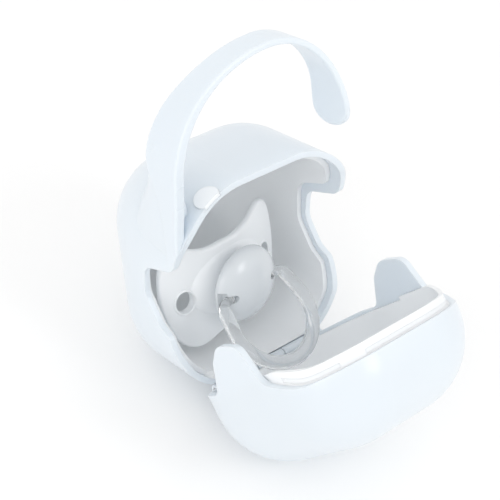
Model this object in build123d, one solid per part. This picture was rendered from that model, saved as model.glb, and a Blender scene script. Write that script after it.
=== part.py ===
from build123d import *
import math
import os

os.makedirs("parts", exist_ok=True)

# Sizes in millimetres. The case is drawn closed and upright first, with its centre at the
# origin, X to the right, Y to the back and Z up. The lid is then turned open about its hinge
# and the whole case is leaned back until body and lid both touch the floor.

# Case shells
case_width = 60.0
case_depth = 66.0
case_height = 66.0
corner_radius = 21.0
shell_wall = 1.8
liner_wall = 1.5
liner_inset = shell_wall + liner_wall
part_gap = 0.3
liner_floor = -27.0
far = 60.0

# Parting line between body and lid, seen from the side as (Y, Z), from the roof down to the
# hinge: visor edge, visor lobe, notch or ear, hinge edge. Each notch of the body has room
# behind the lid's ear.
visor_line = [(-11.4, 50.0), (-11.3, 22.6), (-6.6, 12.0)]
notch_end = [(6.6, 8.4), (8.1, -0.9), (3.2, -8.6), (-1.2, -11.0)]
ear_end = [(4.4, 9.0), (6.6, -0.9), (2.6, -6.6), (-5.4, -11.8)]
hinge_line = [(-4.7, -20.0), (-5.1, -50.0)]
parting_radii = [14.0, 5.0, 4.5, 6.0, 5.0, 3.0, 8.0]
body_edge = visor_line + notch_end + hinge_line
lid_edge = visor_line + ear_end + hinge_line

# Edges of the two liners, seen the same way
body_liner_edge = [
    (-7.9, 50.0),
    (-7.8, 24.5),
    (-3.4, 14.8),
    (8.8, 11.0),
    (9.9, -1.4),
    (4.6, -10.0),
    (0.6, -12.6),
    (-2.4, -20.5),
    (-2.6, -50.0),
]
body_liner_radii = [14.0, 3.0, 6.0, 6.0, 5.0, 3.0, 8.0]
lid_liner_edge = [(-11.4, 50.0), (-11.2, 23.5), (-6.8, 12.0), (-5.9, 2.0), (-5.6, -50.0)]
lid_liner_radii = [14.0, 6.0, 20.0]

# Lip of the lid liner, which enters the rebate inside the visor
lip_edge = [(-8.3, 50.0), (-8.2, 24.0), (-5.3, 15.5), (-5.2, 2.0), (-5.2, -50.0)]
lip_radii = [14.0, 6.0, 20.0]
lip_gap = 0.3
lip_bottom = 2.0
groove_depth = 0.35
groove_start = 0.1
groove_end = 1.2
groove_bottom = 17.0
groove_split = -14.2
groove_split_width = 7.0

# Hinge
hinge_y = -5.6
hinge_height = 1.4
hinge_z = hinge_height - case_height / 2
knuckle_radius = 1.7
knuckle_room = 0.3
knuckle_gap = 0.3
knuckle_ends = [-20.0, -14.0, -5.0, 5.0, 14.0, 20.0]
web_length = 4.2
web_top = 0.9
pin_radius = 0.75
pin_fit = 0.05
lid_angle = 51.6

# Hook handle, a strap in the X-Z plane that grows out of the left wall. Its side view is two
# quarter ellipses about one centre, and its width is given by its front and back edges. All
# its heights are measured from that centre. The shoulder's sections are measured from the wall.
hook_x = 3.0
hook_lift = 7.0
hook_z = case_height / 2 + hook_lift
hook_left = hook_x + case_width / 2
hook_right = 23.9
hook_rise = 27.0
hook_thickness = 1.8
hook_root_thickness = 3.0
hook_foot = -34.0
hook_end = -7.0
hook_edge = 0.6
hook_long_edge = 20.0
hook_middle = -8.0
hook_free = -14.5
hook_left_front = [
    (-7.6, -34.0),
    (-8.8, -27.0),
    (-9.6, -20.0),
    (-10.2, -15.0),
    (-11.2, -10.0),
    (-12.1, -4.0),
    (-12.9, 2.0),
    (-13.2, 9.0),
    (-12.9, 17.0),
    (-12.6, 23.0),
    (-12.5, 28.0),
]
hook_left_back = [
    (-3.5, 28.0),
    (-3.4, 23.0),
    (-1.8, 17.0),
    (-0.5, 9.0),
    (-0.2, 4.0),
    (-1.2, -1.0),
    (-3.2, -7.0),
    (-4.2, -13.0),
    (-4.4, -24.0),
    (-4.4, -34.0),
]
hook_right_half_widths = [
    (4.5, 28.0),
    (4.6, 23.0),
    (5.0, 17.0),
    (5.7, 11.0),
    (6.5, 5.5),
    (6.9, 1.5),
    (6.2, -1.8),
    (3.8, -3.8),
    (0.0, -4.6),
]
shoulder_sections = [
    (-30.0, (0.2, -7.0), (0.6, 6.0), (2.8, 15.5)),
    (-20.0, (0.2, -7.0), (0.8, 5.0), (4.4, 15.2)),
    (-10.0, (0.2, -7.0), (1.0, 2.6), (6.2, 9.6)),
    (-2.0, (0.25, -7.0), (0.9, 0.0), (3.6, 2.8)),
    (4.0, (0.55, -7.0), (1.1, -1.6), (3.0, -0.7)),
    (9.0, (2.2, -7.0), (2.5, -3.4), (3.6, -2.4)),
]

# Round disc let into the visor beside its edge
disc_radius = 3.6
disc_depth = 0.9
disc_stand = 0.25
disc_side = 11.4
disc_x = disc_side - case_width / 2
disc_y = -8.9

# Pacifier, drawn with its axis along Y, knob to the front, and then turned into its place
pacifier_side = 24.3
pacifier_height = 22.7
pacifier_x = liner_inset + pacifier_side - case_width / 2
pacifier_y = 8.0
pacifier_z = liner_inset + pacifier_height - case_height / 2
pacifier_roll = 2.0
pacifier_yaw = 6.0
shield_front = 6.0
shield_thickness = 2.2
shield_bend_radius = 52.0
shield_long_edge = 20.0
shield_half = [
    (0.0, 12.4),
    (6.0, 12.6),
    (11.0, 14.0),
    (15.2, 15.9),
    (18.8, 15.0),
    (20.9, 12.0),
    (22.0, 7.2),
    (22.3, 1.2),
    (21.5, -4.8),
    (19.8, -11.2),
    (17.0, -15.8),
    (12.5, -17.8),
    (6.5, -16.4),
    (0.0, -15.2),
]
vent_x = 15.8
vent_z = -1.2
vent_width = 5.6
vent_height = 7.2
boss_radius = 8.6
boss_front = 3.6
boss_back = 9.0
mound_width = 29.0
mound_height = 25.0
mound_centre = 9.5
knob_radius = 11.3
knob_front = -4.6
knob_rim = 0.9
knob_back = 1.9
knob_neck_radius = 7.4
plug_radius = 4.0
plug_end = 15.0
teat_neck_radius = 4.9
teat_bulb_radius = 5.6
teat_flange_radius = 7.6
teat_flange_thickness = 1.4
teat_end = 26.5
teat_droop = 16.0

# Ring of the pacifier, which swings on two pins in the sides of the knob
pivot_y = -2.1
ring_radius = 13.3
ring_half_width = 2.1
ring_half_thickness = 1.4
ring_cap_proud = 0.05
ring_arm_x = 11.7
ring_drop = 10.2
ring_angle = 47.9
ring_pin_radius = 1.3
ring_pin_inner = 7.6
ring_pin_fit = 0.06
pin_slot = 2.4
pin_slot_inner = 6.4
arm_slot = 5.0
arm_slot_depth = 2.2


def rounded_box(inset):
    """Rounded case solid, smaller than the outside by the inset on every face."""
    box = Box(case_width - 2 * inset, case_depth - 2 * inset, case_height - 2 * inset)
    return fillet(box.edges(), corner_radius - inset)


def layer(outer_inset, inner_inset):
    """Hollow skin between two insets of the case."""
    return rounded_box(outer_inset) - rounded_box(inner_inset)


def side_face(points, radii, towards, grow):
    """Area in front of or behind a side profile, grown or shrunk all round."""
    edge = FilletPolyline(*points, radius=radii)
    start = points[0]
    end = points[-1]
    closing = Polyline(end, (towards * far, end[1]), (towards * far, start[1]), start)
    area = make_face(edge + closing)
    if grow != 0:
        area = offset(area, grow)
    return area


def side_block(points, radii, towards, grow):
    """That area, swept across the whole width of the case."""
    return extrude(Plane.YZ * side_face(points, radii, towards, grow), far, both=True)


def body_side(grow=0.0):
    """Everything behind the body's edge."""
    return side_block(body_edge, parting_radii, 1, grow)


def lid_side(grow=0.0):
    """Everything in front of the lid's edge."""
    return side_block(lid_edge, parting_radii, -1, grow)


def half_space(z):
    """Everything above a level."""
    return Pos(0, 0, z + far) * Box(2 * far, 2 * far, 2 * far)


def axis_cylinder(radius, start, end):
    """Cylinder about the hinge axis between two X positions."""
    place = Pos((start + end) / 2, hinge_y, hinge_z)
    return place * Rot(0, 90, 0) * Cylinder(radius, end - start)


def knuckle(index, towards):
    """Hinge knuckle number index with its web to the wall on one side."""
    start = knuckle_ends[index] + knuckle_gap / 2
    end = knuckle_ends[index + 1] - knuckle_gap / 2
    barrel = axis_cylinder(knuckle_radius, start, end)
    height = knuckle_radius + web_top
    web = Box(end - start, web_length, height)
    web_y = hinge_y + towards * web_length / 2
    web = Pos((start + end) / 2, web_y, hinge_z + (web_top - knuckle_radius) / 2) * web
    return barrel + web


def hinge_room():
    """Room that walls leave around the knuckles of the other half."""
    end = knuckle_ends[-1] + knuckle_gap
    return axis_cylinder(knuckle_radius + knuckle_room, -end, end)


def quarter_band(x_radius, z_radius, side):
    """Half of an ellipse about the hook's centre, on the left or the right of it."""
    oval = Ellipse(x_radius, z_radius) & Pos(side * far / 2, 0) * Rectangle(far, 2 * far)
    return Pos(hook_x, hook_z) * oval


def hook_side_view():
    """The handle's side view: two quarter ellipses and a straight root."""
    inner_left = hook_left - hook_root_thickness
    inner_rise = hook_rise - hook_thickness
    band = quarter_band(hook_left, hook_rise, -1) + quarter_band(hook_right, hook_rise, 1)
    band -= quarter_band(inner_left, inner_rise, -1)
    band -= quarter_band(hook_right - hook_thickness, inner_rise, 1)
    band -= Pos(hook_x - far / 2, hook_z - far / 2) * Rectangle(far, far)
    band -= Pos(hook_x + far / 2, hook_z + hook_end - far / 2) * Rectangle(far, far)
    root = Rectangle(hook_root_thickness, -hook_foot)
    return band + Pos(hook_x - hook_left + hook_root_thickness / 2, hook_z + hook_foot / 2) * root


def hook_width_left():
    """Width of the strap on its root side, seen from the side."""
    front = Spline(*hook_left_front)
    back = Spline(*hook_left_back)
    top = Line(hook_left_front[-1], hook_left_back[0])
    foot = Line(hook_left_back[-1], hook_left_front[0])
    area = Plane.YZ * make_face(front + top + back + foot)
    return Pos(hook_x, 0, hook_z) * extrude(area, -far)


def hook_width_right():
    """Width of the strap on its free side, which ends in a round tip."""
    front = [(hook_middle - width, z) for width, z in hook_right_half_widths]
    back = [(hook_middle + width, z) for width, z in reversed(hook_right_half_widths[:-1])]
    outline = Spline(*(front + back))
    area = Plane.YZ * make_face(outline + Line(back[-1], front[0]))
    return Pos(hook_x, 0, hook_z) * extrude(area, far)


def rounded_strap(half):
    """Round the long edges of one half of the strap."""
    long_edges = half.edges().filter_by(lambda edge: edge.length > hook_long_edge)
    return fillet(long_edges, hook_edge)


def hook_shoulder():
    """Rounded shoulder behind the strap's root that runs into the body's corner."""
    sections = []
    for z, first, middle, last in shoulder_sections:
        inner_first = (last[0], first[1])
        curve = Spline(first, middle, last, tangents=[(0, 1), (1, 1)])
        area = make_face(curve + Polyline(last, inner_first, first))
        sections.append(Pos(-case_width / 2, 0, hook_z + z) * area)
    return loft(sections)


def hook_handle():
    band = extrude(Plane.XZ * hook_side_view(), far, both=True)
    strap = rounded_strap(band & hook_width_left()) + rounded_strap(band & hook_width_right())
    lid_room = lid_side() - half_space(hook_z + hook_free)
    return strap + hook_shoulder() - lid_room


def disc_place():
    """Frame on the visor where the round disc sits, its Z axis square to the surface."""
    flat_x = case_width / 2 - corner_radius
    flat_z = case_height / 2 - corner_radius
    run = disc_x + flat_x
    rise = math.sqrt(corner_radius**2 - run**2)
    normal = (run, 0, rise)
    return Plane((disc_x, disc_y, flat_z + rise), z_dir=normal)


def disc_core():
    return disc_place() * Cylinder(disc_radius, 6 * disc_depth)


def make_visor_disc():
    skin = layer(-disc_stand, disc_depth)
    return skin & disc_core() & body_side(-part_gap / 2)


def make_body_shell():
    """Outer body shell with visor, hook handle and two hinge knuckles."""
    shell = layer(0, shell_wall) & body_side()
    shell -= hinge_room()
    shell += hook_handle() - rounded_box(shell_wall / 2)
    shell -= disc_core() & (rounded_box(-disc_stand) - rounded_box(disc_depth))
    for index in (1, 3):
        shell += knuckle(index, 1)
    shell -= axis_cylinder(pin_radius, -far, far)
    return shell


def make_body_liner():
    """Inner bowl of the body, which stops short of the shell's edge as a rebate."""
    behind = side_block(body_liner_edge, body_liner_radii, 1, 0)
    behind += body_side() - half_space(liner_floor)
    liner = (layer(shell_wall, liner_inset) & behind) - hinge_room()
    for index in (1, 3):
        liner -= knuckle(index, 1)
    return liner


def make_lid_shell():
    """Outer lid shell with the two ears and three hinge knuckles."""
    shell = layer(0, shell_wall) & lid_side(-part_gap)
    shell -= hinge_room()
    for index in (0, 2, 4):
        shell += knuckle(index, -1)
    shell -= axis_cylinder(pin_radius + pin_fit, -far, far)
    return shell


def make_lid_liner():
    """Inner bowl of the lid with a raised lip, which has a snap groove in two lengths."""
    liner = layer(shell_wall, liner_inset) & side_block(lid_liner_edge, lid_liner_radii, -1, -part_gap)
    lip_inset = shell_wall + lip_gap
    lip = layer(lip_inset, liner_inset) & side_block(lip_edge, lip_radii, -1, 0)
    liner += (lip & half_space(lip_bottom)) - hinge_room()
    groove = layer(lip_inset - lip_gap, lip_inset + groove_depth) & half_space(groove_bottom)
    groove &= lid_side(groove_end) & body_side(-groove_start)
    split = Pos(groove_split, 0, 0) * Box(groove_split_width, 2 * far, 2 * far)
    liner -= groove - split
    liner -= hinge_room()
    for index in (0, 2, 4):
        liner -= knuckle(index, -1)
    return liner


def make_hinge_pin():
    return axis_cylinder(pin_radius, knuckle_ends[0], knuckle_ends[-1])


def shield_outline():
    """Butterfly outline of the shield, a closed curve mirrored about its middle."""
    left = [(-x, z) for x, z in reversed(shield_half[1:-1])]
    return make_face(Spline(*(shield_half + left), periodic=True))


def shield_plate(front, thickness):
    """Plate bent about an upright axis so that its ends lie further back."""
    centre = Pos(0, front + shield_bend_radius, 0)
    outer = centre * Cylinder(shield_bend_radius, far)
    return outer - centre * Cylinder(shield_bend_radius - thickness, far)


def turned_cylinder(radius, start, end):
    """Cylinder along the pacifier's axis between two Y positions."""
    return Pos(0, (start + end) / 2, 0) * Rot(90, 0, 0) * Cylinder(radius, end - start)


def shield_mound():
    """Oval swelling in the middle of the shield, wider than tall, under the knob."""
    size = (mound_width / 2, mound_centre - boss_front, mound_height / 2)
    mound = Pos(0, mound_centre, 0) * scale(Sphere(1.0), by=size)
    back = Pos(0, shield_front + shield_bend_radius, 0) * Cylinder(shield_bend_radius - shield_thickness / 2, far)
    return mound - back


def make_shield():
    """Bent butterfly shield with two vents, an oval swelling and a boss for the teat."""
    block = extrude(Plane.XZ * shield_outline(), -far)
    shield = block & shield_plate(shield_front, shield_thickness)
    front_edges = shield.edges().filter_by(lambda edge: edge.length > shield_long_edge)
    shield = fillet(front_edges, shield_thickness * 0.4)
    vent = extrude(Plane.XZ * Ellipse(vent_width / 2, vent_height / 2), far, both=True)
    shield += shield_mound() + turned_cylinder(boss_radius, shield_front, boss_back)
    for side in (-1, 1):
        shield -= Pos(side * vent_x, 0, vent_z) * vent
    return shield - turned_cylinder(plug_radius, 0, far)


def beyond(x):
    """Everything further than x from the middle, on both sides."""
    return Box(2 * far, 2 * far, 2 * far) - Box(2 * x, 4 * far, 4 * far)


def make_knob():
    """Round domed knob on a neck, with a hole, a snap slot and an arm slot on each side."""
    ball = Sphere(1.0)
    front = scale(ball & Pos(0, -1, 0) * Box(4, 2, 4), by=(knob_radius, knob_rim - knob_front, knob_radius))
    back = scale(ball & Pos(0, 1, 0) * Box(4, 2, 4), by=(knob_radius, knob_back - knob_rim, knob_radius))
    knob = Pos(0, knob_rim, 0) * (front + back)
    knob += turned_cylinder(knob_neck_radius, knob_rim, boss_front)
    pin_room = beyond(ring_pin_inner - part_gap)
    hole = Rot(0, 90, 0) * Cylinder(ring_pin_radius + ring_pin_fit, 2 * far)
    knob -= Pos(0, pivot_y, 0) * (hole & pin_room)
    for side in (-1, 1):
        slot = SlotOverall(2 * far, pin_slot)
        place = Pos(side * (pin_slot_inner + far), pivot_y - far, 0)
        knob -= place * extrude(Plane.XZ * slot, -far)
    arm_room = beyond(ring_arm_x - ring_half_width - ring_cap_proud - part_gap)
    slot = Box(2 * far, far, arm_slot) & arm_room
    return knob - Pos(0, pivot_y + arm_slot_depth - far / 2, 0) * slot


def make_plug():
    """Stud that runs from the knob through the shield into the teat's neck."""
    return turned_cylinder(plug_radius, boss_front, plug_end)


def make_teat():
    """Soft teat: flange behind the shield, and a neck and rounded bulb that droop a little."""
    start = boss_back
    flange_end = start + teat_flange_thickness
    bulb_middle = teat_end - teat_bulb_radius
    points = [(0, start), (teat_flange_radius, start), (teat_flange_radius, flange_end)]
    outline = Polyline(*points, (teat_neck_radius, flange_end), (teat_neck_radius, flange_end + 1.5))
    swell = Spline(
        (teat_neck_radius, flange_end + 1.5),
        (teat_bulb_radius, bulb_middle),
        (teat_bulb_radius * 0.72, teat_end - 2.0),
        (0, teat_end),
        tangents=[(0, 1), (-1, 0)],
    )
    area = make_face(outline + swell + Line((0, teat_end), (0, start)))
    bulb = revolve(area, Axis.Y) - turned_cylinder(far, 0, start + teat_flange_thickness / 2)
    hinge = Pos(0, start, 0)
    bulb = hinge * Rot(-teat_droop, 0, 0) * hinge.inverse() * bulb
    flange = turned_cylinder(teat_flange_radius, start, flange_end)
    return flange + bulb - turned_cylinder(far, 0, start) - turned_cylinder(plug_radius, 0, plug_end)


def make_ring():
    """Clear ring: a round band with two arms, tangent to it, that end in inward pins."""
    reach = math.hypot(ring_arm_x, ring_drop)
    turn = math.atan2(ring_drop, ring_arm_x) - math.acos(ring_radius / reach)
    touch_x = ring_radius * math.cos(turn)
    touch_z = ring_radius * math.sin(turn) - ring_drop
    loop = ThreePointArc((-touch_x, touch_z), (0, -ring_drop - ring_radius), (touch_x, touch_z))
    left = Line((-ring_arm_x, 0), (-touch_x, touch_z))
    right = Line((touch_x, touch_z), (ring_arm_x, 0))
    path = Plane.XZ * (left + loop + right)
    start = Plane(path @ 0, x_dir=(0, 1, 0), z_dir=path % 0)
    ring = sweep(start * Ellipse(ring_half_thickness, ring_half_width), path=path)
    cap_height = ring_half_thickness + ring_cap_proud
    cap = scale(Sphere(1.0), by=(ring_half_width + ring_cap_proud, cap_height, cap_height))
    for side in (-1, 1):
        length = ring_arm_x - ring_pin_inner
        pin = Rot(0, 90, 0) * Cylinder(ring_pin_radius, length)
        ring += Pos(side * (ring_pin_inner + length / 2), 0, 0) * pin
        ring += Pos(side * ring_arm_x, 0, 0) * cap
    return Pos(0, pivot_y, 0) * Rot(ring_angle - 90, 0, 0) * ring


def open_lid(shape):
    """Turn a closed lid piece open about the hinge axis."""
    hinge = Pos(0, hinge_y, hinge_z)
    return hinge * Rot(lid_angle, 0, 0) * hinge.inverse() * shape


def place_pacifier(shape):
    """Put a pacifier piece in its place in the case."""
    place = Pos(pacifier_x, pacifier_y, pacifier_z)
    turn = Rot(0, 0, pacifier_yaw) * Rot(0, -pacifier_roll, 0)
    return place * turn * Pos(0, -pacifier_y, 0) * shape


def lean_angle():
    """Lean that puts the round lower edges of body and open lid on one level."""
    back_y = case_depth / 2 - corner_radius
    low_z = corner_radius - case_height / 2
    arm_y = -back_y - hinge_y
    arm_z = low_z - hinge_z
    turn = math.radians(lid_angle)
    front_y = hinge_y + arm_y * math.cos(turn) - arm_z * math.sin(turn)
    front_z = hinge_z + arm_y * math.sin(turn) + arm_z * math.cos(turn)
    return math.degrees(math.atan2(low_z - front_z, back_y - front_y))


pieces = {
    "body_shell": make_body_shell(),
    "body_liner": make_body_liner(),
    "visor_disc": make_visor_disc(),
    "hinge_pin": make_hinge_pin(),
    "lid_shell": open_lid(make_lid_shell()),
    "lid_liner": open_lid(make_lid_liner()),
    "pacifier_shield": place_pacifier(make_shield()),
    "pacifier_knob": place_pacifier(make_knob()),
    "pacifier_plug": place_pacifier(make_plug()),
    "pacifier_teat": place_pacifier(make_teat()),
    "pacifier_ring": place_pacifier(make_ring()),
}

lean = Rot(-lean_angle(), 0, 0)
pieces = {name: lean * shape for name, shape in pieces.items()}
box = Compound(children=[Compound(shape.solids()) for shape in pieces.values()]).bounding_box()
floor = Pos(-(box.min.X + box.max.X) / 2, -(box.min.Y + box.max.Y) / 2, -box.min.Z)

for name, shape in pieces.items():
    solid = floor * shape
    export_step(solid, f"parts/{name}.step")
    print(name, len(solid.solids()), "solid", round(solid.volume, 1), "mm3")

print("lean", round(lean_angle(), 4), "moved", floor.position)
hinge_place = floor * lean * Pos(0, hinge_y, hinge_z)
print("hinge", hinge_place.position)
pivot_place = floor * lean * Pos(pacifier_x, pacifier_y, pacifier_z)
pivot_place *= Rot(0, 0, pacifier_yaw) * Rot(0, -pacifier_roll, 0) * Pos(0, pivot_y - pacifier_y, 0)
print("ring pivot", pivot_place.position, "axis", Plane(pivot_place).x_dir)
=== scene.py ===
# %% [markdown]
# # Pacifier case
# A small clamshell of moulded plastic, open, with a pacifier lying in it. The solids come from
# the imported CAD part. This lesson dresses them: it gives every piece a finish, rebuilds the
# pieces whose soft shape a CAD kernel makes plainly, and lights the whole like a catalogue
# photograph.

import math

import bpy
import numpy as np
from mathutils import Matrix


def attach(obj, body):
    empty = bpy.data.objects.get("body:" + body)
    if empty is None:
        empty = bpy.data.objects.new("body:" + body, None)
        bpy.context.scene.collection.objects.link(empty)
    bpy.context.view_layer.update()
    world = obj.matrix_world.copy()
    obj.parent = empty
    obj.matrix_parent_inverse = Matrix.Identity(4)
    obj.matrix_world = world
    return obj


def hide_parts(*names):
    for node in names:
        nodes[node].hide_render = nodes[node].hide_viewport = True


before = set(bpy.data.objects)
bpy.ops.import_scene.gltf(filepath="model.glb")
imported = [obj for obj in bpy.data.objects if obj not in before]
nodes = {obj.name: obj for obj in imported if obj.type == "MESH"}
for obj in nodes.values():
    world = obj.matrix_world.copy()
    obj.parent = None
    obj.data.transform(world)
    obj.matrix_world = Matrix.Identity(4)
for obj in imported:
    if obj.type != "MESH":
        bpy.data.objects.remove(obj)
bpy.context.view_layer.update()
print("CAD nodes:", sorted(nodes))

# %% [markdown]
# ## Where the pieces lie
# The case was drawn upright and then leaned back until the body and the open lid both touch the
# floor. The pacifier has a frame of its own inside the case. The functions below repeat those
# turns, so that a new surface can be written in the simple upright frames, in millimetres.
# One could also move the finished objects, but a surface whose place is in its points exports
# more safely.

# %% Turn upright millimetres into metres on the floor
MM = 0.001
LEAN = math.radians(-18.6152)
MOVED = np.array([0.0, 14.6482, 36.2027])
PACIFIER_PLACE = np.array([-2.4, 8.0, -7.0])
PACIFIER_YAW = math.radians(6.0)
PACIFIER_ROLL = math.radians(-2.0)


def turn(axis, angle):
    """Matrix of a right-handed turn about X, Y or Z."""
    return np.array(Matrix.Rotation(angle, 3, axis))


def case_to_floor(points):
    """Lean about X, then the move that puts the case on the floor, then metres."""
    return (points @ turn("X", LEAN).T + MOVED) * MM


def pacifier_to_floor(points):
    """Turn about Y and Z round the shield's middle, then the case's own place."""
    middle = np.array([0.0, PACIFIER_PLACE[1], 0.0])
    turned = (points - middle) @ (turn("Z", PACIFIER_YAW) @ turn("Y", PACIFIER_ROLL)).T
    return case_to_floor(turned + PACIFIER_PLACE)


print("knob axis point:", pacifier_to_floor(np.array([[0.0, -2.1, 0.0]])).round(5))

# %% [markdown]
# ## From a grid of points to a mesh
# Every new piece here is a surface: a function of two parameters gives a grid of points, and
# neighbouring points are joined by four-sided faces. The grid's columns run round the piece and
# close on themselves. Its first and last rows may shrink to a point, and then that pole is one
# vertex with a fan of triangles, so that the skin is closed. Whole arrays are computed at once,
# which is quick and keeps the formula readable.


# %% Build a closed skin from rows of rings
def skin(name, rings, place):
    """Mesh object whose point (row i, column j) is rings[i, j], with a pole at either end."""
    rows, columns = rings.shape[:2]
    body = place(rings.reshape(-1, 3))
    poles = place(np.stack([rings[0].mean(axis=0), rings[-1].mean(axis=0)]))
    points = np.concatenate([body, poles])
    i, j = np.meshgrid(np.arange(rows - 1), np.arange(columns), indexing="ij")
    k = (j + 1) % columns
    n = i + 1
    quads = np.stack([i * columns + j, i * columns + k, n * columns + k, n * columns + j], axis=-1)
    column = np.arange(columns)
    after = (column + 1) % columns
    first, last = rows * columns, rows * columns + 1
    start = (rows - 1) * columns
    fan_a = np.stack([np.full(columns, first), after, column], axis=-1)
    fan_b = np.stack([np.full(columns, last), start + column, start + after], axis=-1)
    faces = quads.reshape(-1, 4).tolist() + fan_a.tolist() + fan_b.tolist()
    return smooth_object(name, points, faces)


def smooth_object(name, points, faces):
    """Smooth mesh object of points in metres, with its faces turned outwards."""
    mesh = bpy.data.meshes.new(name)
    mesh.from_pydata(points.tolist(), [], faces)
    mesh.polygons.foreach_set("use_smooth", np.ones(len(faces), dtype=bool))
    volume = signed_volume(mesh)
    if volume < 0:
        mesh.flip_normals()
    mesh.update()
    piece = bpy.data.objects.new(name, mesh)
    bpy.context.collection.objects.link(piece)
    print(name, len(faces), "faces, volume", round(abs(volume) / MM**3, 1), "mm3")
    return piece


def signed_volume(mesh):
    """Sum over triangles of the volume towards the origin; it is positive if faces point out."""
    mesh.calc_loop_triangles()
    points = np.empty(len(mesh.vertices) * 3)
    mesh.vertices.foreach_get("co", points)
    points = points.reshape(-1, 3)
    corners = np.empty(len(mesh.loop_triangles) * 3, dtype=np.int32)
    mesh.loop_triangles.foreach_get("vertices", corners)
    a, b, c = (points[corners.reshape(-1, 3)[:, n]] for n in range(3))
    return float(np.einsum("ij,ij->i", a, np.cross(b, c)).sum() / 6)


def smooth_step(values, start, end):
    """Rises from 0 at start to 1 at end along 3t^2 - 2t^3."""
    t = np.clip((values - start) / (end - start), 0.0, 1.0)
    return t * t * (3.0 - 2.0 * t)


# %% [markdown]
# ## Moulded plastic
# All the hard parts of the real case are injection-moulded. Such plastic isn't one flat colour:
# the melt leaves a faint cloudiness, polished moulds leave a gloss that varies a little over the
# surface, and handling leaves hair-thin unevenness. One function makes all of these from three
# noises on the piece's own coordinates. Sharp mould edges are rounded in the shading by a Bevel
# node, which is cheaper than rounding thousands of CAD faces.


# %% A function for moulded plastics
CLOUD_SIZE = 30.0
GLOSS_PATCH_SIZE = 18.0
BEVEL_SAMPLES = 6
PLASTIC_IOR = 1.5
COAT_ROUGHNESS = 0.15
GLOW_DEPTH = 2.0


def new_material(name):
    """Empty node material with its node tree, its shader and the piece's own coordinates."""
    material = bpy.data.materials.new(name)
    material.use_nodes = True
    tree = material.node_tree
    shader = tree.nodes["Principled BSDF"]
    place = tree.nodes.new("ShaderNodeTexCoord").outputs["Object"]
    return material, tree, shader, place


def plain_noise(tree, place, size, detail):
    """Noise with features of about the given size in millimetres, mostly between 0.3 and 0.7."""
    texture = tree.nodes.new("ShaderNodeTexNoise")
    texture.inputs["Scale"].default_value = 1000.0 / size
    texture.inputs["Detail"].default_value = detail
    tree.links.new(place, texture.inputs["Vector"])
    return texture.outputs["Fac"]


def noise(tree, place, size, detail, low, high):
    """The same noise spread over low to high, with its rare far ends cut off."""
    spread = tree.nodes.new("ShaderNodeMapRange")
    spread.inputs["From Min"].default_value = 0.2
    spread.inputs["From Max"].default_value = 0.8
    spread.inputs["To Min"].default_value = low
    spread.inputs["To Max"].default_value = high
    tree.links.new(plain_noise(tree, place, size, detail), spread.inputs["Value"])
    return spread.outputs["Result"]


def two_tone(tree, factor, dark, light):
    """Colour that runs from dark to light as the factor runs from 0 to 1."""
    mix = tree.nodes.new("ShaderNodeMix")
    mix.data_type = "RGBA"
    mix.inputs["A"].default_value = (*dark, 1.0)
    mix.inputs["B"].default_value = (*light, 1.0)
    tree.links.new(factor, mix.inputs["Factor"])
    return mix.outputs["Result"]


def relief(tree, height, depth, edge_radius):
    """Normal of a surface with a relief of the given depth, rounded at its edges."""
    rounded = tree.nodes.new("ShaderNodeBevel")
    rounded.samples = BEVEL_SAMPLES
    rounded.inputs["Radius"].default_value = edge_radius * MM
    bump = tree.nodes.new("ShaderNodeBump")
    bump.inputs["Strength"].default_value = 1.0
    bump.inputs["Distance"].default_value = depth * MM
    tree.links.new(height, bump.inputs["Height"])
    tree.links.new(rounded.outputs["Normal"], bump.inputs["Normal"])
    return bump.outputs["Normal"]


def moulded(name, dark, light, gloss, grain, depth, edge_radius=0.25, coat=0.0, glow=0.0):
    """Moulded plastic: cloudy colour, uneven gloss, fine grain and rounded edges.

    dark and light are the two tones of the cloudiness, gloss is the range of roughness, grain
    is the size of the fine unevenness and depth its height in millimetres. coat is the share
    of a clear gloss on top, and glow the share of light that spreads inside the plastic.
    """
    material, tree, shader, place = new_material(name)
    colour = two_tone(tree, noise(tree, place, CLOUD_SIZE, 1.0, 0.0, 1.0), dark, light)
    tree.links.new(colour, shader.inputs["Base Color"])
    roughness = noise(tree, place, GLOSS_PATCH_SIZE, 1.0, *gloss)
    tree.links.new(roughness, shader.inputs["Roughness"])
    height = plain_noise(tree, place, grain, 1.0)
    tree.links.new(relief(tree, height, depth, edge_radius), shader.inputs["Normal"])
    shader.inputs["IOR"].default_value = PLASTIC_IOR
    shader.inputs["Coat Weight"].default_value = coat
    shader.inputs["Coat Roughness"].default_value = COAT_ROUGHNESS
    shader.inputs["Subsurface Weight"].default_value = glow
    shader.inputs["Subsurface Radius"].default_value = (1.0, 1.0, 1.0)
    shader.inputs["Subsurface Scale"].default_value = GLOW_DEPTH * MM
    return material
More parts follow.
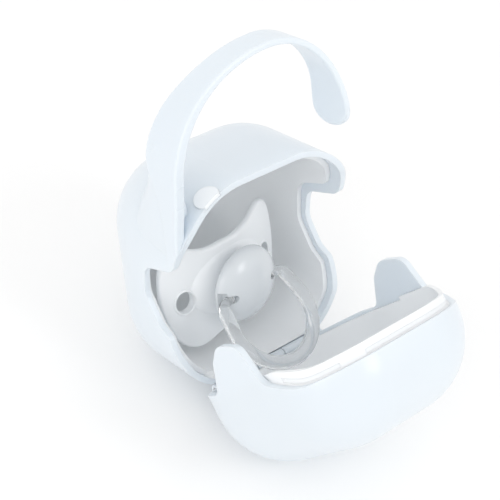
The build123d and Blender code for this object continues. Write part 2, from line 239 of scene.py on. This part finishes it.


# %% [markdown]
# ## The finishes of the hard pieces
# The outer shells are a very pale blue with a soft gloss. Both inner bowls are a plain white.
# The round disc on the visor has lighter tones than the shell. This is painted light: the tones
# stand for the light that the disc catches while the shell round it lies in shade. The shield of
# the pacifier is matt, as it lies on skin, and its knob is polished.

# %% Make the plastics
shell_plastic = moulded(
    "pale_blue_shell",
    dark=(0.735, 0.790, 0.841),
    light=(0.752, 0.806, 0.854),
    gloss=(0.27, 0.33),
    grain=2.5,
    depth=0.004,
    coat=0.15,
    glow=0.35,
)
liner_plastic = moulded(
    "white_bowl",
    dark=(0.896, 0.91, 0.922),
    light=(0.912, 0.925, 0.936),
    gloss=(0.34, 0.42),
    grain=2.5,
    depth=0.004,
    edge_radius=0.3,
    glow=0.05,
)
# Painted light: the disc's lighter tones stand for the light that it catches, not for a whiter
# plastic.
disc_painted_light = moulded(
    "disc_painted_light_tone",
    dark=(0.90, 0.925, 0.945),
    light=(0.915, 0.938, 0.955),
    gloss=(0.22, 0.28),
    grain=2.0,
    depth=0.003,
    glow=0.05,
)
shield_plastic = moulded(
    "matt_shield",
    dark=(0.855, 0.875, 0.892),
    light=(0.875, 0.893, 0.907),
    gloss=(0.44, 0.54),
    grain=0.8,
    depth=0.006,
    edge_radius=0.35,
    glow=0.1,
)
knob_plastic = moulded(
    "polished_knob",
    dark=(0.675, 0.705, 0.73),
    light=(0.695, 0.725, 0.75),
    gloss=(0.20, 0.26),
    grain=3.0,
    depth=0.004,
    coat=0.6,
    glow=0.06,
)
plastics = (shell_plastic, liner_plastic, disc_painted_light, shield_plastic, knob_plastic)
print("plastics:", [plastic.name for plastic in plastics])

# %% [markdown]
# ## Drawn steel
# The hinge pin is a length of drawn wire. Drawing leaves fine scratches along it, which make
# the metal look brushed: stretched noise along X gives both the streaks and the uneven gloss.


# %% Make the steel of the hinge pin
def drawn_steel(name):
    """Metal with fine streaks along X, from a noise that is stretched in that direction."""
    material, tree, shader, place = new_material(name)
    stretch = tree.nodes.new("ShaderNodeMapping")
    stretch.inputs["Scale"].default_value = (0.02, 1.0, 1.0)
    tree.links.new(place, stretch.inputs["Vector"])
    streaks = noise(tree, stretch.outputs["Vector"], 0.15, 3.0, 0.0, 1.0)
    colour = two_tone(tree, streaks, (0.50, 0.50, 0.51), (0.66, 0.66, 0.67))
    tree.links.new(colour, shader.inputs["Base Color"])
    roughness = noise(tree, stretch.outputs["Vector"], 0.3, 2.0, 0.22, 0.38)
    tree.links.new(roughness, shader.inputs["Roughness"])
    normal = relief(tree, streaks, depth=0.004, edge_radius=0.1)
    tree.links.new(normal, shader.inputs["Normal"])
    shader.inputs["Metallic"].default_value = 1.0
    return material


steel = drawn_steel("drawn_steel")
print("metal:", steel.name)

# %% [markdown]
# ## Clear plastic and silicone
# The ring is moulded from clear plastic. A clear piece takes its look from what lies behind it
# and from the light that bends at its surfaces, so it needs transmission and the right index of
# refraction more than a colour. Clear mouldings have faint flow waves, which a slow relief
# gives. The teat is silicone: softer, a little cloudy, and warm in tone.


# %% Make the clear materials
def clear(name, tint, rough, index, wave, depth, share, glow=0.0):
    """See-through material with flow marks.

    rough is the range of roughness and index the index of refraction. wave is the size of the
    flow marks and depth their height in millimetres. share is how much light passes, and glow
    the share that spreads inside.
    """
    material, tree, shader, place = new_material(name)
    dark = tuple(value * 0.97 for value in tint)
    cloud = noise(tree, place, 6.0, 2.0, 0.0, 1.0)
    tree.links.new(two_tone(tree, cloud, dark, tint), shader.inputs["Base Color"])
    tree.links.new(noise(tree, place, 4.0, 2.0, *rough), shader.inputs["Roughness"])
    height = plain_noise(tree, place, wave, 1.0)
    normal = relief(tree, height, depth, edge_radius=0.1)
    tree.links.new(normal, shader.inputs["Normal"])
    shader.inputs["IOR"].default_value = index
    shader.inputs["Transmission Weight"].default_value = share
    shader.inputs["Subsurface Weight"].default_value = glow
    shader.inputs["Subsurface Scale"].default_value = GLOW_DEPTH * MM
    return material


ring_plastic = clear(
    "clear_ring",
    tint=(0.88, 0.90, 0.915),
    rough=(0.03, 0.10),
    index=1.49,
    wave=3.0,
    depth=0.02,
    share=0.80,
)
silicone = clear(
    "clear_silicone",
    tint=(0.88, 0.86, 0.80),
    rough=(0.22, 0.34),
    index=1.41,
    wave=2.5,
    depth=0.015,
    share=0.55,
    glow=0.3,
)
print("clear materials:", ring_plastic.name, silicone.name)

# %% [markdown]
# ## Dress the CAD nodes
# The shells, bowls, disc, pin, shield, knob and stud have their right shape already, so their
# CAD meshes stay and only take a finish. A finish is assigned to the material slots of the node.

# %% Give each kept node its finish
FINISHES = {
    "body_shell": shell_plastic,
    "lid_shell": shell_plastic,
    "body_liner": liner_plastic,
    "lid_liner": liner_plastic,
    "visor_disc": disc_painted_light,
    "hinge_pin": steel,
    "pacifier_shield": shield_plastic,
    "pacifier_knob": knob_plastic,
    "pacifier_plug": knob_plastic,
    "pacifier_teat": silicone,
    "pacifier_ring": ring_plastic,
}
for name, material in FINISHES.items():
    mesh = nodes[name].data
    mesh.materials.clear()
    mesh.materials.append(material)
print("dressed", len(FINISHES), "nodes")

# %% [markdown]
# ## The ring
# The real ring is one moulded band: it leaves the knob as a round pin, bends down into a flat
# arm, runs round and comes back. As a swept surface it is a section carried along a path. The
# path is a pin, a rounded corner, a straight arm and an arc that the arm touches, and its
# mirror image. The section is an oval that widens from the round pin to the flat band, so there
# is no seam where they meet, which clear plastic would show.

# %% Carry an oval along the ring's path
PIVOT_Y = -2.1
PIN_INNER = 7.6
ARM_X = 11.7
RING_RADIUS = 13.3
RING_DROP = 10.2
RING_ANGLE = math.radians(47.9)
PIN_RADIUS = 1.3
BAND_HALF_WIDTH = 2.1
BAND_HALF_THICKNESS = 1.4
CORNER = 2.6
WIDEN_BEFORE = 2.2
WIDEN_AFTER = 2.5
END_ROUND = 0.4
STEP_EVEN = 0.93
STEP_CURVED = 0.07


def half_path(count):
    """Right half of the ring's line in its own plane, from the pin's end to the lowest point.

    A straight pin runs to the corner and a straight arm leaves it, with a parabola between
    them. The arm touches the circle where the line from the corner is square to a radius.
    """
    reach = math.hypot(ARM_X, RING_DROP)
    touch = math.atan2(RING_DROP, ARM_X) - math.acos(RING_RADIUS / reach)
    corner = np.array([ARM_X, 0.0])
    centre = np.array([0.0, -RING_DROP])
    contact = centre + RING_RADIUS * np.array([math.cos(touch), math.sin(touch)])
    down = (contact - corner) / np.linalg.norm(contact - corner)
    before = corner - np.array([CORNER, 0.0])
    after = corner + CORNER * down
    t = np.linspace(0.0, 1.0, count)[:, None]
    pin = np.array([PIN_INNER, 0.0]) * (1 - t) + before * t
    bend = before * (1 - t) ** 2 + corner * 2 * t * (1 - t) + after * t**2
    arm = after * (1 - t) + contact * t
    angle = touch + (-math.pi / 2 - touch) * t
    arc = centre + RING_RADIUS * np.concatenate([np.cos(angle), np.sin(angle)], axis=1)
    return np.concatenate([pin, bend[1:], arm[1:], arc[1:]])


def ring_surface(columns=40, rows=420):
    """Oval section carried along the whole path at nearly even steps, closed in rounded ends.

    Point = path(s) + width(s) cos(v) across + thickness(s) sin(v) square to the ring's plane.
    Width and thickness shrink along a quarter circle over the first and last END_ROUND.
    """
    right = half_path(60)
    line = np.concatenate([right, (right * [-1.0, 1.0])[::-1][1:]])
    length = np.concatenate([[0.0], np.cumsum(np.linalg.norm(np.diff(line, axis=0), axis=1))])
    total = length[-1]
    ease = np.linspace(-1.0, 1.0, rows)
    s = total / 2 * (1 + STEP_EVEN * ease + STEP_CURVED * np.sin(ease * math.pi / 2) ** 5)
    s = np.clip(s, 1e-4, total - 1e-4)
    path = np.stack([np.interp(s, length, line[:, n]) for n in range(2)], axis=1)
    along = np.gradient(path, axis=0)
    along /= np.linalg.norm(along, axis=1, keepdims=True)
    across = np.stack([-along[:, 1], along[:, 0]], axis=1)
    from_end = np.minimum(s, total - s)
    pin_length = ARM_X - PIN_INNER
    band = smooth_step(from_end, pin_length - WIDEN_BEFORE, pin_length + WIDEN_AFTER)
    end = np.sqrt(1 - (1 - np.clip(from_end / END_ROUND, 0.0, 1.0)) ** 2)
    width = (PIN_RADIUS + (BAND_HALF_WIDTH - PIN_RADIUS) * band) * end
    thickness = (PIN_RADIUS + (BAND_HALF_THICKNESS - PIN_RADIUS) * band) * end
    v = np.linspace(0.0, 2 * math.pi, columns, endpoint=False)
    flat = path[:, None, :] + across[:, None, :] * (width[:, None] * np.cos(v))[..., None]
    out = thickness[:, None] * np.sin(v)
    return np.stack([flat[..., 0], out, flat[..., 1]], axis=-1)


def ring_to_floor(points):
    """Swing of the ring about its pins, then the pacifier's place."""
    swung = points @ turn("X", RING_ANGLE - math.pi / 2).T
    return pacifier_to_floor(swung + np.array([0.0, PIVOT_Y, 0.0]))


ring = skin("ring_band", ring_surface(), ring_to_floor)
ring.data.materials.append(ring_plastic)
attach(ring, "ring")
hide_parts("pacifier_ring")

# %% [markdown]
# ## The teat
# A teat is a hollow bulb on a neck, flattened towards its tip so that it fits the palate. It is
# a family of ovals along a line that bends down, and behind the shield it ends in a thin round
# flange. A turned shape would be quicker, but it would lose the flattening.

# %% Carry an oval along the teat's drooping line
TEAT_START = 9.0
TEAT_END = 26.5
TEAT_DROOP = math.radians(16.0)
DROOP_LENGTH = 3.0
FLANGE_RADIUS = 7.6
FLANGE_HALF = 0.7
FLANGE_FULLNESS = 0.35
FLANGE_END = TEAT_START + 2 * FLANGE_HALF
NECK_RADIUS = 4.9
NECK_TAPER = 0.35
NECK_END = 13.5
BULB_GROWTH = 1.05
BULB_FULL = 19.5
TIP_START = 20.9
TIP_LENGTH = 5.6
FLAT_START = 17.0
FLATTENING = 0.22


def teat_surface(columns=64, rows=150):
    """Ovals along a line that turns down: radius(t) times a flattening that grows to the tip.

    The radius follows four knots along the teat: flange, neck, bulb and closed tip. Between
    them it runs smoothly, and it ends along a quarter of an ellipse.
    """
    t = np.linspace(0.0, 1.0, rows)
    along = TEAT_START + (TEAT_END - TEAT_START) * t
    off_middle = (along - TEAT_START - FLANGE_HALF) / FLANGE_HALF
    flange = FLANGE_RADIUS * np.sqrt(np.clip(1 - off_middle**2, 0.0, 1.0)) ** FLANGE_FULLNESS
    neck = NECK_RADIUS - NECK_TAPER * smooth_step(along, FLANGE_END, NECK_END)
    bulb = neck + BULB_GROWTH * smooth_step(along, NECK_END, BULB_FULL)
    past_bulb = np.clip(along - TIP_START, 0.0, None) / TIP_LENGTH
    tip = np.sqrt(np.clip(1 - past_bulb**2, 0.0, 1.0))
    radius = np.where(along < FLANGE_END, np.maximum(flange, NECK_RADIUS), bulb * tip)
    radius[[0, -1]] = 1e-3
    bent = TEAT_DROOP * smooth_step(along, TEAT_START, TEAT_START + DROOP_LENGTH)
    step = np.gradient(along)
    back = np.cumsum(step * np.cos(bent)) + TEAT_START - step[0]
    drop = -np.cumsum(step * np.sin(bent))
    v = np.linspace(0.0, 2 * math.pi, columns, endpoint=False)
    flattened = 1.0 - FLATTENING * smooth_step(along, FLAT_START, TEAT_END)
    side = radius[:, None] * np.cos(v)
    up = (radius * flattened)[:, None] * np.sin(v)
    y = back[:, None] + up * np.sin(bent)[:, None]
    z = drop[:, None] + up * np.cos(bent)[:, None]
    return np.stack([side, y, z], axis=-1)


teat = skin("teat_bulb", teat_surface(), pacifier_to_floor)
teat.data.materials.append(silicone)
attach(teat, "pacifier")
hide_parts("pacifier_teat")

# %% [markdown]
# ## Rims round the vents
# The two vents of the shield have a soft raised rim, so that their edges don't press on the
# skin. Each rim is a ring of small circles that follows the vent's oval on the bent shield.

# %% Lay a bead round each vent
VENT_X = 15.8
VENT_Z = -1.2
VENT_HALF = (3.05, 3.85)
SHIELD_FRONT = 6.0
SHIELD_BEND = 52.0
RIM_RADIUS = 0.42
RIM_SUNK = 0.12


def bead_surface(side, columns=16, rows=120):
    """Small circle carried round an oval on the shield's bent front, a little sunk into it."""
    u = np.linspace(0.0, 2 * math.pi, rows, endpoint=False)
    v = np.linspace(0.0, 2 * math.pi, columns, endpoint=False)
    out = RIM_RADIUS * np.cos(v)
    x = side * VENT_X + (VENT_HALF[0] + out[None, :]) * np.cos(u)[:, None]
    z = VENT_Z + (VENT_HALF[1] + out[None, :]) * np.sin(u)[:, None]
    y = SHIELD_FRONT + SHIELD_BEND - np.sqrt(SHIELD_BEND**2 - x**2)
    return np.stack([x, y - RIM_RADIUS * np.sin(v)[None, :] + RIM_SUNK, z], axis=-1)


def loop_skin(name, rings, place):
    """Mesh object of a grid that closes on itself both ways, like the skin of a tyre."""
    rows, columns = rings.shape[:2]
    i, j = np.meshgrid(np.arange(rows), np.arange(columns), indexing="ij")
    n, k = (i + 1) % rows, (j + 1) % columns
    quads = np.stack([i * columns + j, i * columns + k, n * columns + k, n * columns + j], axis=-1)
    return smooth_object(name, place(rings.reshape(-1, 3)), quads.reshape(-1, 4).tolist())


for side, label in ((-1, "left"), (1, "right")):
    bead = loop_skin(f"vent_rim_{label}", bead_surface(side), pacifier_to_floor)
    bead.data.materials.append(shield_plastic)
    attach(bead, "pacifier")

# %% [markdown]
# ## Floor, light and background
# The photograph is a bright catalogue picture: a white ground with only a soft grey shadow. The
# object itself is lit plainly, by an even pale sky, a soft lamp at its left, which brightens the
# upright wall and the inside of the bowl, and a small lamp at its front, whose mirror image is
# the soft spot on the knob. Both lamps are weak beside the sky, so that the shadow under the
# case is the soft one of an even light. The ground turns white through its own material: rays
# that come straight from the camera, or through gloss and clear plastic, see a little light
# added to it.

# %% Lay the floor and set the lights
FLOOR_HALF = 3.0
FLOOR_LIFT = 0.02


def floor_material():
    """Pale matt floor, with light added for camera, mirror and see-through rays alone."""
    material, tree, shader, place = new_material("pale_floor")
    tone = noise(tree, place, 400.0, 2.0, 0.0, 1.0)
    colour = two_tone(tree, tone, (0.925, 0.922, 0.918), (0.935, 0.932, 0.928))
    tree.links.new(colour, shader.inputs["Base Color"])
    shader.inputs["Roughness"].default_value = 0.9
    shader.inputs["Specular IOR Level"].default_value = 0.1
    path = tree.nodes.new("ShaderNodeLightPath")
    either = tree.nodes.new("ShaderNodeMath")
    either.operation = "MAXIMUM"
    tree.links.new(path.outputs["Is Camera Ray"], either.inputs[0])
    tree.links.new(path.outputs["Is Glossy Ray"], either.inputs[1])
    any_ray = tree.nodes.new("ShaderNodeMath")
    any_ray.operation = "MAXIMUM"
    tree.links.new(either.outputs["Value"], any_ray.inputs[0])
    tree.links.new(path.outputs["Is Transmission Ray"], any_ray.inputs[1])
    lift = tree.nodes.new("ShaderNodeMath")
    lift.operation = "MULTIPLY"
    lift.inputs[1].default_value = FLOOR_LIFT
    tree.links.new(any_ray.outputs["Value"], lift.inputs[0])
    shader.inputs["Emission Color"].default_value = (1.0, 1.0, 1.0, 1.0)
    tree.links.new(lift.outputs["Value"], shader.inputs["Emission Strength"])
    return material


corners = np.array([[-1, -1, 0], [1, -1, 0], [1, 1, 0], [-1, 1, 0]], dtype=float) * FLOOR_HALF
floor_mesh = bpy.data.meshes.new("floor")
floor_mesh.from_pydata(corners.tolist(), [], [(0, 1, 2, 3)])
floor = bpy.data.objects.new("floor", floor_mesh)
bpy.context.collection.objects.link(floor)
floor_mesh.materials.append(floor_material())


def set_sky(strength, tint):
    """Even pale sky that lights the object and is plain white where a ray sees it directly."""
    world = bpy.data.worlds.new("pale_sky")
    world.use_nodes = True
    tree = world.node_tree
    light = tree.nodes["Background"]
    light.inputs["Color"].default_value = (*tint, 1.0)
    light.inputs["Strength"].default_value = strength
    white = tree.nodes.new("ShaderNodeBackground")
    white.inputs["Color"].default_value = (1.0, 1.0, 1.0, 1.0)
    white.inputs["Strength"].default_value = 1.0
    path = tree.nodes.new("ShaderNodeLightPath")
    choose = tree.nodes.new("ShaderNodeMixShader")
    tree.links.new(path.outputs["Is Camera Ray"], choose.inputs["Fac"])
    tree.links.new(light.outputs["Background"], choose.inputs[1])
    tree.links.new(white.outputs["Background"], choose.inputs[2])
    tree.links.new(choose.outputs["Shader"], tree.nodes["World Output"].inputs["Surface"])
    bpy.context.scene.world = world


def lamp(name, place, target, size, power):
    """Square soft lamp at a place, pointed at a target, all in metres and watts."""
    light = bpy.data.lights.new(name, "AREA")
    light.shape = "SQUARE"
    light.size = size
    light.energy = power
    piece = bpy.data.objects.new(name, light)
    bpy.context.collection.objects.link(piece)
    back = np.array(place) - np.array(target)
    back /= np.linalg.norm(back)
    side = np.cross([0.0, 1.0, 0.0], back)
    side /= np.linalg.norm(side)
    turned = Matrix(np.stack([side, np.cross(back, side), back], axis=1).tolist()).to_4x4()
    turned.translation = place
    piece.matrix_world = turned
    print(name, "at", place, "size", size, "power", power)


set_sky(strength=1.0, tint=(1.0, 1.0, 1.0))
lamp("left_lamp", (-0.66, -0.18, 0.42), target=(0.0, 0.0, 0.05), size=0.5, power=0.8)
lamp("front_lamp", (0.20, -0.51, 0.48), target=(0.0, 0.0, 0.04), size=0.24, power=0.55)

# %% [markdown]
# ## The camera
# The viewing angle was found from the case's own edges: the photograph looks down on the open
# case from its left front, with the picture turned a little to one side. The camera's three
# directions are written as they were found, as the columns of its matrix. The pale walls of the
# bowl light one another, so light may bounce more often between matt surfaces than the four
# times that Blender allows by itself. With four, the inside of the bowl comes out too dark.

# %% Place the camera
DIFFUSE_BOUNCES = 12
RIGHT = (0.767165, -0.62717, 0.134593)
UP = (0.373767, 0.607593, 0.700806)
BACK = (-0.521302, -0.487328, 0.700539)
CAMERA_PLACE = (-0.180878, -0.154157, 0.283083)
camera_data = bpy.data.cameras.new("camera")
camera_data.lens = 90.37872
camera_data.sensor_width = 36.0
camera_data.clip_start = 0.01
camera = bpy.data.objects.new("camera", camera_data)
bpy.context.collection.objects.link(camera)
view = Matrix(np.stack([RIGHT, UP, BACK], axis=1).tolist()).to_4x4()
view.translation = CAMERA_PLACE
camera.matrix_world = view
scene = bpy.context.scene
scene.camera = camera
scene.view_settings.view_transform = "Standard"
scene.cycles.diffuse_bounces = DIFFUSE_BOUNCES
print("camera at", CAMERA_PLACE, "diffuse bounces", scene.cycles.diffuse_bounces)
